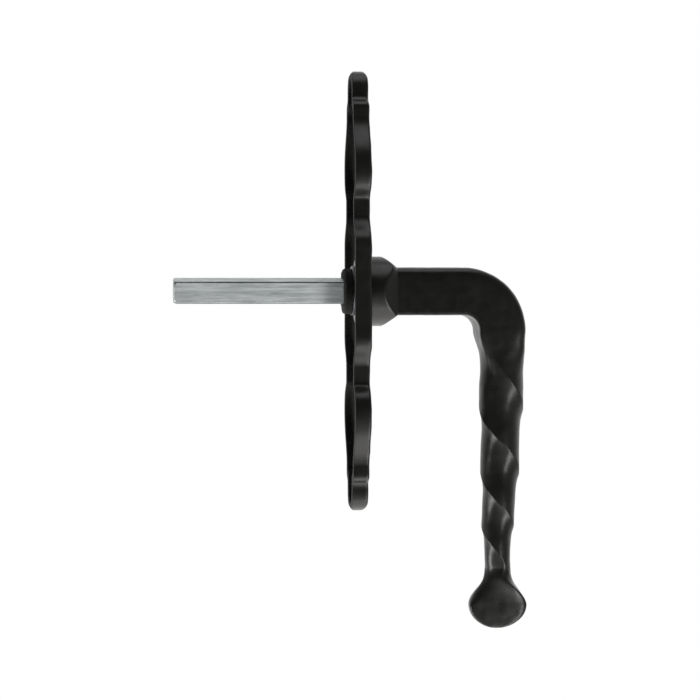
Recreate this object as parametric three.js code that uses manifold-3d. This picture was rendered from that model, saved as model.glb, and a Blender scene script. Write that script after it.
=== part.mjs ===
// Rustic window lever handle: a hollow scalloped plate, a cast lever with a twisted grip,
// and the square spindle that works the espagnolette behind the plate.
// Millimetres. The origin is where the spindle axis meets the plane of the plate's back rim.
// The window lies behind, at +Y. The lever stands out to the front, at -Y, and hangs to -Z.

import * as THREE from 'three';
import { mergeVertices } from 'three/addons/utils/BufferGeometryUtils.js';
import Module from 'manifold-3d';

const wasm = await Module();
wasm.setup();

// Spindle
const spindleSize = 8;
const spindleLength = 90;
const spindleReach = 62.7;        // tip, behind the rim plane
const spindleChamfer = 1.2;
const spindleEdge = 0.5;          // chamfer along its four edges
const spindlePlay = 0.35;         // gap to the socket on each side
const spindleTurn = -8;           // degrees, from the bar's flats
const socketDepthGap = 0.5;       // beyond the spindle's front end

// Backplate
const plateHeight = 155;
const plateDepth = 5.5;
const plateWall = 2.5;
const plateEdgeRound = 0.8;
const lobeHalf = 18;              // half width over the middle and outer lobes
const waistHalf = 12.6;           // between two lobes
const neckHalf = 11.1;            // beyond the outer lobe
const tipHalf = 7.8;
const middleLobe = 15.5;          // height of the middle lobe's straight side, from the axis
const waistStart = 26;
const waistEnd = 32;
const outerLobe = 42.5;           // height of the outer lobe's widest place
const neckFromTip = 16.7;         // the neck starts this far below the plate's end
const neckLength = 3.5;
const shoulderLength = 3.5;       // the step from neck to tip
const tipStraight = 2.7;
const screwFromTip = 19.5;
const screwHoleRadius = 2.25;
const screwHeadRadius = 4.4;

// Lever
const neckRadius = 8;
const neckReach = 3.1;            // neck end, behind the rim plane
const neckChamfer = 0.6;
const collarWall = 1.4;           // around the recess for the bush and spring
const collarLength = 5.6;
const barHalf = 8.3;
const barCorner = 7.5;            // superellipse power of the bar's section
const barEnd = 10;                // drop at which the square section starts to fade
const twistFull = 34;             // drop at which the twisted section is fully there
const twistStart = 13;
const hoodLength = 5;             // the collar slopes down to the bar over this length
const leverReach = 53.6;          // grip axis, in front of the rim plane
const bendRadius = 13.9;
const gripLean = 1.3;             // the grip's foot stands this much nearer to the plate
const leverDrop = 119.8;          // spindle axis to the foot of the lever
const gripTopRadius = 7.75;
const gripFootRadius = 4.3;
const crestShares = [0.168, 0.4175, 0.6415, 0.8198];  // of the twist's length
const crestRise = 0.03;           // share of the radius
const fluteDepth = 0.13;          // share of the radius
const fluteSkew = 0.55;           // under 1 puts the flute's floor close to its crest
const gripTaper = 1.2;            // over 1 keeps the grip thick at the top
const paddleHalf = 10.2;
const paddleThickHalf = 3.7;
const paddleLength = 20;
const paddleEndLength = 8.6;      // below its widest place
const paddleCorner = 2.3;         // superellipse power of its section
const paddleBlend = 4;            // its section is fully there this far above the widest place

// Bearing, spring, ring and screw
const bushWall = 1.3;
const bushFlange = 0.8;
const flangeWidth = 1;            // beyond the bush wall
const springThickness = 0.35;
const springWave = 0.3;
const springWidth = 2.3;
const washerThickness = 0.8;
const washerWidth = 3.1;
const ringWire = 1.4;
const ringGrooveWidth = 1.5;
const ringGap = 4;
const grooveDepth = 0.55;
const grubRadius = 2.5;
const grubPlace = 21.5;           // in front of the rim plane
const grubSocket = 2.5;           // across the flats of the hexagon
const grubSocketDepth = 1.8;
const grubChamfer = 0.7;
const grubSunk = 0.1;             // below the bar's face

// Clearances
const runningGap = 0.3;
const fitGap = 0.2;

const black = { color: 0x1b1b1a, roughness: 0.42, metalness: 0.1 };
const zinc = { color: 0xa9b0b2, roughness: 0.35, metalness: 0.9 };
const steel = { color: 0x8b8e90, roughness: 0.4, metalness: 0.9 };
const nylon = { color: 0x26282a, roughness: 0.6, metalness: 0 };

// Solids

function solid(geometry) {
  const bare = geometry.index ? geometry.toNonIndexed() : geometry.clone();
  bare.deleteAttribute('normal');
  bare.deleteAttribute('uv');
  const merged = mergeVertices(bare, 1e-4);
  const index = merged.index.array;
  const kept = [];
  for (let i = 0; i < index.length; i += 3) {
    const [a, b, c] = [index[i], index[i + 1], index[i + 2]];
    if (a !== b && b !== c && c !== a) kept.push(a, b, c);
  }
  const mesh = new wasm.Mesh({
    numProp: 3,
    vertProperties: new Float32Array(merged.attributes.position.array),
    triVerts: new Uint32Array(kept),
  });
  return new wasm.Manifold(mesh);
}

function geometryOf(manifold) {
  const mesh = manifold.getMesh();
  const geometry = new THREE.BufferGeometry();
  geometry.setAttribute('position', new THREE.BufferAttribute(mesh.vertProperties, 3));
  geometry.setIndex(new THREE.BufferAttribute(mesh.triVerts, 1));
  return geometry;
}

function part(name, manifold, look) {
  const flat = geometryOf(manifold).toNonIndexed();
  flat.computeVertexNormals();
  const mesh = new THREE.Mesh(flat, new THREE.MeshStandardMaterial(look));
  mesh.name = name;
  return mesh;
}

// A solid turned about the Y axis. Each point of the profile is [radius, y].
function turned(profile, segments = 48) {
  const points = profile.map(([radius, y]) => new THREE.Vector2(radius, y));
  return solid(new THREE.LatheGeometry(points, segments));
}

// A ring of rectangular section about the Y axis, from yFront to yBack.
function ring(inner, outer, yFront, yBack, segments = 48) {
  const profile = [[inner, yFront], [outer, yFront], [outer, yBack], [inner, yBack], [inner, yFront]];
  return turned(profile, segments);
}

function rod(radius, yFront, yBack, segments = 48) {
  return turned([[0, yFront], [radius, yFront], [radius, yBack], [0, yBack]], segments);
}

function box(x, y, z, centre) {
  const geometry = new THREE.BoxGeometry(x, y, z);
  geometry.translate(...centre);
  return solid(geometry);
}

// An outline in X and Z, thickened from yFront to yBack and rounded at its front edge.
function slab(shape, yFront, yBack, round = 0) {
  const geometry = new THREE.ExtrudeGeometry(shape, {
    depth: yBack - yFront,
    bevelEnabled: round > 0,
    bevelThickness: round,
    bevelSize: round,
    bevelOffset: -round,
    bevelSegments: 2,
  });
  geometry.rotateX(Math.PI / 2);
  geometry.translate(0, yBack + round, 0);
  const whole = solid(geometry);
  if (round === 0) return whole;
  const size = 2 * plateHeight;
  return whole.subtract(box(size, size, size, [0, yBack + size / 2, 0]));
}

// Backplate

const bushInner = neckRadius + runningGap;
const bushOuter = bushInner + bushWall;
const boreRadius = bushOuter + fitGap;
const collarBack = -(plateDepth + runningGap);
const plateInside = -(plateDepth - plateWall);
const overcut = 1;                // a cut runs past the face it opens by this much

// The upper right quarter of the outline, moved inwards by inset.
function quarter(inset) {
  const top = plateHeight / 2 - inset;
  const lobe = lobeHalf - inset;
  const waist = waistHalf - inset;
  const neck = neckHalf - inset;
  const tip = tipHalf - inset;
  const neckStart = plateHeight / 2 - neckFromTip;
  const neckEnd = neckStart + neckLength - inset;
  const shoulder = neckEnd + shoulderLength;
  const between = (low, high, share) => low + (high - low) * share;
  const path = new THREE.Path();
  path.moveTo(lobe, 0);
  path.lineTo(lobe, middleLobe);
  path.bezierCurveTo(
    lobe, between(middleLobe, waistStart, 0.43),
    between(waist, lobe, 0.26), between(middleLobe, waistStart, 0.48),
    waist, waistStart,
  );
  path.lineTo(waist, waistEnd);
  path.bezierCurveTo(
    between(waist, lobe, 0.1), between(waistEnd, outerLobe, 0.48),
    lobe, between(waistEnd, outerLobe, 0.43),
    lobe, outerLobe,
  );
  path.bezierCurveTo(
    lobe, between(outerLobe, neckStart, 0.41),
    between(neck, lobe, 0.15), between(outerLobe, neckStart, 0.57),
    neck, neckStart,
  );
  path.lineTo(neck, neckEnd);
  path.bezierCurveTo(
    neck, between(neckEnd, shoulder, 0.63),
    tip, between(neckEnd, shoulder, 0.34),
    tip, shoulder,
  );
  path.lineTo(tip, shoulder + tipStraight);
  path.bezierCurveTo(
    tip, between(shoulder + tipStraight, top, 0.64),
    tip * 0.6, top,
    0, top,
  );
  return path.getPoints(5);
}

function outline(inset) {
  const right = quarter(inset);
  const left = right.slice(0, -1).reverse().map((p) => new THREE.Vector2(-p.x, p.y));
  const upper = [...right, ...left];
  const lower = upper.slice(1, -1).reverse().map((p) => new THREE.Vector2(p.x, -p.y));
  return new THREE.Shape([...upper, ...lower]);
}

function makeBackplate() {
  let plate = slab(outline(0), -plateDepth, 0, plateEdgeRound);
  plate = plate.subtract(slab(outline(plateWall), plateInside, overcut));
  plate = plate.subtract(rod(boreRadius, -plateDepth - overcut, overcut));
  const sinkDepth = screwHeadRadius - screwHoleRadius;
  for (const side of [-1, 1]) {
    const hole = turned([
      [0, -plateDepth - overcut],
      [screwHeadRadius + overcut, -plateDepth - overcut],
      [screwHoleRadius, -plateDepth + sinkDepth],
      [screwHoleRadius, overcut],
      [0, overcut],
    ], 32);
    const height = side * (plateHeight / 2 - screwFromTip);
    plate = plate.subtract(hole.translate([0, 0, height]));
  }
  return part('backplate', plate, black);
}

// Lever

const socketHalf = spindleSize / 2 + spindlePlay;
const spindleFront = spindleReach - spindleLength;
const socketFront = spindleFront - socketDepthGap;
const washerFront = plateInside + fitGap;
const ringPlace = washerFront + washerThickness + fitGap + ringGrooveWidth / 2;
const flangeRadius = bushOuter + flangeWidth;
const springRadius = bushInner + springWidth;
const flangeFront = -(plateDepth + fitGap + bushFlange);
const springRoom = springThickness + 2 * springWave;
const recessFront = flangeFront - fitGap - springRoom - fitGap;
const recessRadius = Math.max(flangeRadius, springRadius) + runningGap;
const collarRadius = recessRadius + collarWall;
const hoodEnd = -collarBack + collarLength + hoodLength;
const paddleStart = leverDrop - paddleLength;
const paddleWidest = leverDrop - paddleEndLength;

// The grip's section has two crests, half a turn apart. One of them starts at the bar's inner
// edge, and a crest stands on the side face at each of crestDrops, below the spindle axis.
const crestDrops = crestShares.map((share) => twistStart + (paddleWidest - twistStart) * share);
const startTurn = -45;
const endTurn = 180 * crestDrops.length - 90;

function smooth(from, to, x) {
  const t = Math.min(1, Math.max(0, (x - from) / (to - from)));
  return t * t * (3 - 2 * t);
}

// The turn of the first crest at a drop below the axis: 180 degrees from crest to crest.
function crestTurn(drop) {
  const crests = crestDrops.map((d, i) => [d, i * 180]);
  const marks = [[twistStart, startTurn], ...crests, [paddleWidest, endTurn]];
  if (drop <= twistStart) return startTurn;
  if (drop >= paddleWidest) return endTurn;
  const i = marks.findIndex(([d]) => d >= drop) - 1;
  const slope = (k) => {
    if (k <= 0 || k >= marks.length - 1) return 0;
    return (marks[k + 1][1] - marks[k - 1][1]) / (marks[k + 1][0] - marks[k - 1][0]);
  };
  const [d0, v0] = marks[i];
  const [d1, v1] = marks[i + 1];
  const h = d1 - d0;
  const t = (drop - d0) / h;
  const a = (1 + 2 * t) * (1 - t) ** 2 * v0 + t * t * (3 - 2 * t) * v1;
  return a + t * (1 - t) ** 2 * h * slope(i) - t * t * (1 - t) * h * slope(i + 1);
}

// Radius of a superellipse of half sizes a and b in the direction of angle.
function superRadius(angle, a, b, power) {
  const u = Math.abs(Math.cos(angle) / a) ** power;
  const v = Math.abs(Math.sin(angle) / b) ** power;
  return (u + v) ** (-1 / power);
}

// Radius of the lever's section in a direction measured from the side face of the bar.
// The collar is round, the bar square, the grip has two crests, and the paddle is flat.
function sectionRadius(angle, reach, drop) {
  const crest = THREE.MathUtils.degToRad(crestTurn(drop));
  const hoodRise = Math.max(0, (hoodEnd - reach) / hoodLength) * (collarRadius - barHalf);
  const barSize = barHalf + hoodRise;
  const square = Math.min(collarRadius, superRadius(angle, barSize, barSize, barCorner));

  const taper = Math.max(0, (drop - twistStart) / (paddleStart - twistStart));
  const grip = gripTopRadius + (gripFootRadius - gripTopRadius) * taper ** gripTaper;
  const share = THREE.MathUtils.euclideanModulo(crest - angle, Math.PI) / Math.PI;
  const flute = Math.sin(Math.PI * share ** fluteSkew);
  const twisted = grip * (1 + crestRise - fluteDepth * flute);

  const widen = smooth(paddleStart, paddleWidest, drop);
  const fall = Math.max(0, drop - paddleWidest) / (leverDrop - paddleWidest);
  const end = Math.sqrt(Math.max(1e-6, 1 - fall * fall));
  const wide = (gripFootRadius + (paddleHalf - gripFootRadius) * widen) * end;
  const thick = (gripFootRadius + (paddleThickHalf - gripFootRadius) * widen) * Math.sqrt(end);
  const paddle = superRadius(angle - crest, wide, thick, paddleCorner);

  const gripped = THREE.MathUtils.lerp(square, twisted, smooth(barEnd, twistFull, drop));
  const flattened = smooth(paddleStart, paddleWidest - paddleBlend, drop);
  return THREE.MathUtils.lerp(gripped, paddle, flattened);
}

// The lever's centre line, from the collar's back face to its foot.
function leverPath() {
  const bendStart = leverReach - bendRadius;
  const handle = bendRadius * 4 / 3 * (Math.SQRT2 - 1);
  const at = (reach, drop) => new THREE.Vector3(0, -reach, -drop);
  const path = new THREE.CurvePath();
  path.add(new THREE.LineCurve3(at(-collarBack, 0), at(bendStart, 0)));
  path.add(new THREE.CubicBezierCurve3(
    at(bendStart, 0),
    at(bendStart + handle, 0),
    at(leverReach, bendRadius - handle),
    at(leverReach, bendRadius),
  ));
  path.add(new THREE.LineCurve3(at(leverReach, bendRadius), at(leverReach - gripLean, leverDrop)));
  return path;
}

// Where the lever's rings stand along its centre line, as shares of its length.
function leverStations(length) {
  const bendStart = leverReach - bendRadius + collarBack;
  const bendEnd = bendStart + bendRadius * Math.PI / 2;
  const spans = [
    [collarLength, 1],
    [collarLength + hoodLength, 7],
    [bendStart, 1],
    [bendEnd, 10],
    [length - (leverDrop - paddleStart), 44],
    [length - (leverDrop - paddleWidest), 8],
  ];
  const stations = [0];
  for (const [end, count] of spans) {
    const start = stations.at(-1);
    for (let i = 1; i <= count; i += 1) {
      stations.push(start + (end - start) * i / count);
    }
  }
  const last = stations.at(-1);
  const capRings = 7;
  for (let i = 1; i <= capRings; i += 1) {
    stations.push(last + (length - last) * Math.sin(Math.PI / 2 * i / capRings));
  }
  return stations.map((station) => Math.min(1, station / length));
}

// Collar, bar, bend, grip and paddle: a cylinder whose rings are laid along the centre line.
function makeArm() {
  const around = 36;
  const path = leverPath();
  const stations = leverStations(path.getLength());
  const geometry = new THREE.CylinderGeometry(1, 1, 1, around, stations.length - 1);
  const position = geometry.attributes.position;
  const side = new THREE.Vector3(-1, 0, 0);
  for (let i = 0; i < position.count; i += 1) {
    const row = Math.round((0.5 - position.getY(i)) * (stations.length - 1));
    const centre = path.getPointAt(stations[row]);
    const outward = new THREE.Vector3().crossVectors(side, path.getTangentAt(stations[row]));
    const angle = Math.atan2(position.getX(i), position.getZ(i));
    const onAxis = Math.hypot(position.getX(i), position.getZ(i)) < 0.5;
    const radius = onAxis ? 0 : sectionRadius(angle, -centre.y, -centre.z);
    centre.addScaledVector(side, radius * Math.cos(angle));
    centre.addScaledVector(outward, radius * Math.sin(angle));
    position.setXYZ(i, centre.x, centre.y, centre.z);
  }
  return solid(geometry);
}

function makeLever() {
  const neckFront = collarBack - collarLength / 2;
  const neck = turned([
    [0, neckFront],
    [neckRadius, neckFront],
    [neckRadius, neckReach - neckChamfer],
    [neckRadius - neckChamfer, neckReach],
    [0, neckReach],
  ]);
  let lever = makeArm().add(neck);
  lever = lever.subtract(ring(neckRadius, recessRadius, recessFront, collarBack + overcut));
  lever = lever.subtract(ring(
    neckRadius - grooveDepth,
    neckRadius + overcut,
    ringPlace - ringGrooveWidth / 2,
    ringPlace + ringGrooveWidth / 2,
  ));
  const socketLength = neckReach + overcut - socketFront;
  const socketMiddle = [0, socketFront + socketLength / 2, 0];
  const socket = box(2 * socketHalf, socketLength, 2 * socketHalf, socketMiddle);
  lever = lever.subtract(socket.rotate([0, spindleTurn, 0]));
  const grubHole = rod(grubRadius + fitGap, 0, barHalf + overcut, 24).rotate([-90, 0, 0]);
  lever = lever.subtract(grubHole.translate([0, -grubPlace, 0]));
  return part('lever_handle', lever, black);
}

// Spindle

function makeSpindle() {
  const half = spindleSize / 2;
  const flat = half - spindleEdge;
  const shape = new THREE.Shape();
  shape.moveTo(flat, -half);
  for (const [x, z] of [[half, -flat], [half, flat], [flat, half], [-flat, half]]) {
    shape.lineTo(x, z);
  }
  for (const [x, z] of [[-half, flat], [-half, -flat], [-flat, -half]]) {
    shape.lineTo(x, z);
  }
  const bar = slab(shape, spindleFront, spindleReach);
  const corner = half * Math.SQRT2;
  const tip = turned([
    [0, spindleFront],
    [corner, spindleFront],
    [corner, spindleReach - spindleChamfer],
    [corner - spindleChamfer, spindleReach],
    [0, spindleReach],
  ], 64);
  return part('spindle', bar.intersect(tip).rotate([0, spindleTurn, 0]), zinc);
}

// Bush, spring, washer, ring and screw

function makeBush() {
  const flangeBack = -(plateDepth + fitGap);
  const bush = turned([
    [bushInner, flangeFront],
    [flangeRadius, flangeFront],
    [flangeRadius, flangeBack],
    [bushOuter, flangeBack],
    [bushOuter, plateInside],
    [bushInner, plateInside],
    [bushInner, flangeFront],
  ]);
  return part('bearing_bush', bush, nylon);
}

function makeSpring() {
  const shape = new THREE.Shape();
  shape.absarc(0, 0, springRadius, 0, 2 * Math.PI);
  const hole = new THREE.Path();
  hole.absarc(0, 0, bushInner, 0, 2 * Math.PI, true);
  shape.holes.push(hole);
  const geometry = new THREE.ExtrudeGeometry(shape, {
    depth: springThickness,
    bevelEnabled: false,
    curveSegments: 24,
  });
  geometry.rotateX(Math.PI / 2);
  const middle = flangeFront - fitGap - springRoom / 2;
  const position = geometry.attributes.position;
  for (let i = 0; i < position.count; i += 1) {
    const angle = Math.atan2(position.getZ(i), position.getX(i));
    const wave = springWave * Math.cos(3 * angle);
    position.setY(i, middle + springThickness / 2 + position.getY(i) + wave);
  }
  return part('wave_spring', solid(geometry), steel);
}

function makeWasher() {
  const outer = bushInner + washerWidth;
  const washer = ring(bushInner, outer, washerFront, washerFront + washerThickness);
  return part('thrust_washer', washer, steel);
}

function makeRing() {
  const centreRadius = neckRadius - grooveDepth + fitGap + ringGrooveWidth / 2;
  const wire = new THREE.Shape();
  wire.absarc(0, 0, ringWire / 2, 0, 2 * Math.PI);
  const gap = ringGap / centreRadius / 2;
  const points = [];
  const steps = 44;
  for (let i = 0; i <= steps; i += 1) {
    const angle = gap + (2 * Math.PI - 2 * gap) * i / steps;
    points.push(new THREE.Vector3(
      centreRadius * Math.sin(angle),
      ringPlace,
      -centreRadius * Math.cos(angle),
    ));
  }
  const geometry = new THREE.ExtrudeGeometry(wire, {
    steps,
    bevelEnabled: false,
    curveSegments: 6,
    extrudePath: new THREE.CatmullRomCurve3(points),
  });
  return part('retaining_ring', solid(geometry), steel);
}

function makeGrub() {
  const head = barHalf - grubSunk;
  const screw = turned([
    [0, socketHalf],
    [grubRadius - grubChamfer, socketHalf],
    [grubRadius, socketHalf + grubChamfer],
    [grubRadius, head],
    [0, head],
  ], 32);
  const hexagon = new THREE.CylinderGeometry(
    grubSocket / Math.sqrt(3),
    grubSocket / Math.sqrt(3),
    2 * grubSocketDepth,
    6,
  );
  hexagon.translate(0, head, 0);
  const grub = screw.subtract(solid(hexagon)).rotate([-90, 0, 0]);
  return part('spindle_grub_screw', grub.translate([0, -grubPlace, 0]), steel);
}

const handle = new THREE.Group();
handle.add(
  makeBackplate(),
  makeBush(),
  makeLever(),
  makeSpindle(),
  makeGrub(),
  makeSpring(),
  makeWasher(),
  makeRing(),
);

export default handle;
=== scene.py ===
import math

import bmesh
import bpy
import numpy as np
from mathutils import Matrix, Vector


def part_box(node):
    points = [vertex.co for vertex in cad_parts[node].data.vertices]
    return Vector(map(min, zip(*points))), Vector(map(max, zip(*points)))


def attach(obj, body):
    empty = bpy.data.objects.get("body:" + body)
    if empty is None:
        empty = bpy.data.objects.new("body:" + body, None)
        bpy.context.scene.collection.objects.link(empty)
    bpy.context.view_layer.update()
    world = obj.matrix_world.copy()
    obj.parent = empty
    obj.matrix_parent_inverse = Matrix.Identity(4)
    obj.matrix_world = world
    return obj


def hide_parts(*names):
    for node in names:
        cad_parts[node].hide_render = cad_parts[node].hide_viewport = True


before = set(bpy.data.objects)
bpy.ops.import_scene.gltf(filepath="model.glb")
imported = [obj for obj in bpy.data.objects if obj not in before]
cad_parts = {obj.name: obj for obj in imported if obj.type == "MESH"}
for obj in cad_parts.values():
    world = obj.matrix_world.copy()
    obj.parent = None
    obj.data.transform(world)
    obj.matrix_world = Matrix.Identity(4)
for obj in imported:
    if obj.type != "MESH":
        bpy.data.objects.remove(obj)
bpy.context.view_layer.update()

mm = 0.001
mergeGap = 2e-6
scene = bpy.context.scene
print("frame loaded:", sorted(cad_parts))


def smoothStep(low, high, x):
    # 0 below low, 1 above high, and a soft S between them
    t = np.clip((x - low) / (high - low), 0.0, 1.0)
    return t * t * (3 - 2 * t)


def mix(a, b, share):
    # a at share 0, b at share 1
    return a + (b - a) * share


def ripple(points, size, seed, waves=14):
    # Sum of plane waves in fixed scattered directions, about size apart, between -1 and 1
    rng = np.random.default_rng(seed)
    ways = rng.normal(size=(waves, points.shape[-1]))
    ways /= np.linalg.norm(ways, axis=1, keepdims=True)
    lengths = size * rng.uniform(0.7, 1.6, waves)
    phases = rng.uniform(0, 2 * math.pi, waves)
    total = np.zeros(points.shape[:-1])
    for way, length, phase in zip(ways, lengths, phases):
        total += np.sin(points @ way * (2 * math.pi / length) + phase)
    return total / math.sqrt(waves) / 1.5


def boxOf(node):
    # Lowest and highest corner of a CAD node, in millimetres
    low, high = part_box(node)
    return low / mm, high / mm


def ringMesh(name, grid):
    # Rows of points joined to closed rings: each face spans two rows and two neighbours in them
    rows, cols = grid.shape[:2]
    index = np.arange(rows * cols).reshape(rows, cols)
    nextCol = np.roll(index, -1, axis=1)
    faces = np.stack([index[:-1], index[1:], nextCol[1:], nextCol[:-1]], axis=-1).reshape(-1, 4)
    mesh = bpy.data.meshes.new(name)
    mesh.from_pydata(grid.reshape(-1, 3).tolist(), [], faces.tolist())
    return mesh


def pieceFromGrid(name, grid, body, replaced, shadeAndRawSkin=None, sharpAngle=40):
    # A piece from rings whose end rows shrink to points; the given mask becomes an attribute that materials
    # read for raw skin and painted shade
    mesh = ringMesh(name, grid)
    if shadeAndRawSkin is not None:
        attribute = mesh.attributes.new("shadeAndRawSkin", "FLOAT", "POINT")
        attribute.data.foreach_set("value", shadeAndRawSkin.reshape(-1).astype(np.float32))
    work = bmesh.new()
    work.from_mesh(mesh)
    bmesh.ops.remove_doubles(work, verts=work.verts, dist=mergeGap)
    bmesh.ops.dissolve_degenerate(work, dist=1e-7, edges=work.edges)
    if work.calc_volume(signed=True) < 0:
        bmesh.ops.reverse_faces(work, faces=work.faces)
    work.to_mesh(mesh)
    work.free()
    piece = bpy.data.objects.new(name, mesh)
    scene.collection.objects.link(piece)
    smoothFaces(mesh, sharpAngle)
    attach(piece, body)
    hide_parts(replaced)
    return piece


def smoothFaces(mesh, sharpAngle):
    mesh.shade_smooth()
    mesh.set_sharp_from_angle(angle=math.radians(sharpAngle))


def alongAxis(radius, y, angles):
    # Rings about the spindle axis: radius[row, col] at height y[row], angle 0 towards -X
    x = -radius * np.cos(angles)
    z = radius * np.sin(angles)
    return np.stack([x, np.broadcast_to(y[:, None], x.shape), z], axis=-1)


def cutOut(piece, cutters):
    # Takes the cutters' shapes out of the piece and removes the cutters
    joined = bmesh.new()
    for cutter in cutters:
        joined.from_mesh(cutter.data)
    joined.to_mesh(cutters[0].data)
    joined.free()
    cut = piece.modifiers.new("holes", "BOOLEAN")
    cut.operation = "DIFFERENCE"
    cut.solver = "EXACT"
    cut.object = cutters[0]
    bpy.context.view_layer.update()
    depsgraph = bpy.context.evaluated_depsgraph_get()
    made = bpy.data.meshes.new_from_object(piece.evaluated_get(depsgraph))
    piece.modifiers.clear()
    old = piece.data
    piece.data = made
    made.name = piece.name
    bpy.data.meshes.remove(old)
    for cutter in cutters:
        bpy.data.objects.remove(cutter)


def paint(piece, material):
    piece.data.materials.clear()
    piece.data.materials.append(material)


def turnedCutter(profile, count=96):
    # A closed solid turned about the Y axis from [radius, y] pairs in millimetres
    profile = np.array(profile, float)
    angles = np.linspace(0, 2 * math.pi, count, endpoint=False)
    mesh = ringMesh("cutter", alongAxis(np.repeat(profile[:, :1], count, axis=1), profile[:, 1], angles) * mm)
    work = bmesh.new()
    work.from_mesh(mesh)
    bmesh.ops.remove_doubles(work, verts=work.verts, dist=mergeGap)
    bmesh.ops.recalc_face_normals(work, faces=work.faces)
    work.to_mesh(mesh)
    work.free()
    cutter = bpy.data.objects.new("cutter", mesh)
    scene.collection.objects.link(cutter)
    return cutter


def newMaterial(name):
    material = bpy.data.materials.new(name)
    material.use_nodes = True
    nodes = material.node_tree.nodes
    return material, nodes, material.node_tree.links, nodes["Principled BSDF"]


def noiseNode(nodes, links, scale, detail=4.0, stretch=(1, 1, 1), roughness=0.55):
    place = nodes.new("ShaderNodeTexCoord")
    mapping = nodes.new("ShaderNodeMapping")
    mapping.inputs["Scale"].default_value = stretch
    noise = nodes.new("ShaderNodeTexNoise")
    noise.inputs["Scale"].default_value = scale
    noise.inputs["Detail"].default_value = detail
    noise.inputs["Roughness"].default_value = roughness
    links.new(place.outputs["Object"], mapping.inputs["Vector"])
    links.new(mapping.outputs["Vector"], noise.inputs["Vector"])
    return noise.outputs["Fac"]


def rampNode(nodes, links, source, stops):
    ramp = nodes.new("ShaderNodeValToRGB")
    elements = ramp.color_ramp.elements
    while len(elements) < len(stops):
        elements.new(0.5)
    for element, (position, color) in zip(elements, stops):
        element.position = position
        element.color = (*color, 1)
    links.new(source, ramp.inputs["Fac"])
    return ramp.outputs["Color"]


def rangeNode(nodes, links, source, low, high, newLow, newHigh):
    reach = nodes.new("ShaderNodeMapRange")
    reach.inputs["From Min"].default_value = low
    reach.inputs["From Max"].default_value = high
    reach.inputs["To Min"].default_value = newLow
    reach.inputs["To Max"].default_value = newHigh
    links.new(source, reach.inputs["Value"])
    return reach.outputs["Result"]


def bumpNode(nodes, links, height, strength, distance, normal=None):
    bump = nodes.new("ShaderNodeBump")
    bump.inputs["Strength"].default_value = strength
    bump.inputs["Distance"].default_value = distance
    links.new(height, bump.inputs["Height"])
    if normal is not None:
        links.new(normal, bump.inputs["Normal"])
    return bump.outputs["Normal"]


blackCoatLook = {
    "thin": (0.012, 0.012, 0.0103),
    "thick": (0.0155, 0.0153, 0.0134),
    "roughLow": 0.27,
    "roughHigh": 0.37,
    "cloudScale": 60.0,
    "roughScale": 240.0,
    "grainScale": 1100.0,
    "grainDepth": 0.00003,
    "waveScale": 160.0,
    "waveDepth": 0.00012,
    # colour of the hollow's raw skin, made much darker as painted shade
    "shadedRawColor": (0.003, 0.0031, 0.0021),
    "rawRough": 0.85,
    "crustScale": 700.0,
    "crustDepth": 0.0004,
}


def makeBlackCoat(name):
    look = blackCoatLook
    material, nodes, links, shader = newMaterial(name)
    cloud = noiseNode(nodes, links, look["cloudScale"], 5.0)
    color = rampNode(nodes, links, cloud, [(0.35, look["thin"]), (0.65, look["thick"])])
    rough = rangeNode(nodes, links, noiseNode(nodes, links, look["roughScale"]), 0.3, 0.7,
                      look["roughLow"], look["roughHigh"])
    wave = noiseNode(nodes, links, look["waveScale"], 2.0)
    grain = noiseNode(nodes, links, look["grainScale"], 3.0)
    normal = bumpNode(nodes, links, wave, 0.35, look["waveDepth"])
    normal = bumpNode(nodes, links, grain, 0.35, look["grainDepth"], normal)
    # where the mask is 1, the raw inside of the casting and the lever's neck: thin dull paint over a coarse
    # skin, its colour made much darker as painted shade of the hollow
    shadeAndRawSkin = nodes.new("ShaderNodeAttribute")
    shadeAndRawSkin.attribute_name = "shadeAndRawSkin"
    dull = nodes.new("ShaderNodeMix")
    dull.data_type = "RGBA"
    links.new(shadeAndRawSkin.outputs["Fac"], dull.inputs["Factor"])
    links.new(color, dull.inputs["A"])
    dull.inputs["B"].default_value = (*look["shadedRawColor"], 1)
    matte = nodes.new("ShaderNodeMix")
    links.new(shadeAndRawSkin.outputs["Fac"], matte.inputs["Factor"])
    links.new(rough, matte.inputs["A"])
    matte.inputs["B"].default_value = look["rawRough"]
    crust = noiseNode(nodes, links, look["crustScale"], 8.0, roughness=0.75)
    masked = nodes.new("ShaderNodeMath")
    masked.operation = "MULTIPLY"
    links.new(crust, masked.inputs[0])
    links.new(shadeAndRawSkin.outputs["Fac"], masked.inputs[1])
    normal = bumpNode(nodes, links, masked.outputs["Value"], 0.9, look["crustDepth"], normal)
    links.new(dull.outputs["Result"], shader.inputs["Base Color"])
    links.new(matte.outputs["Result"], shader.inputs["Roughness"])
    links.new(normal, shader.inputs["Normal"])
    shader.inputs["Metallic"].default_value = 0.0
    shader.inputs["IOR"].default_value = 1.5
    return material


zincLook = {
    "dark": (0.44, 0.47, 0.475),
    "light": (0.72, 0.755, 0.76),
    # painted shade: the dark colour laid along the bar's rounded edges
    "edge": (0.04, 0.043, 0.043),
    "streakScale": 900.0,
    "streakDepth": 0.00002,
    "roughScale": 500.0,
    "roughLow": 0.5,
    "roughHigh": 0.64,
}


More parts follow.
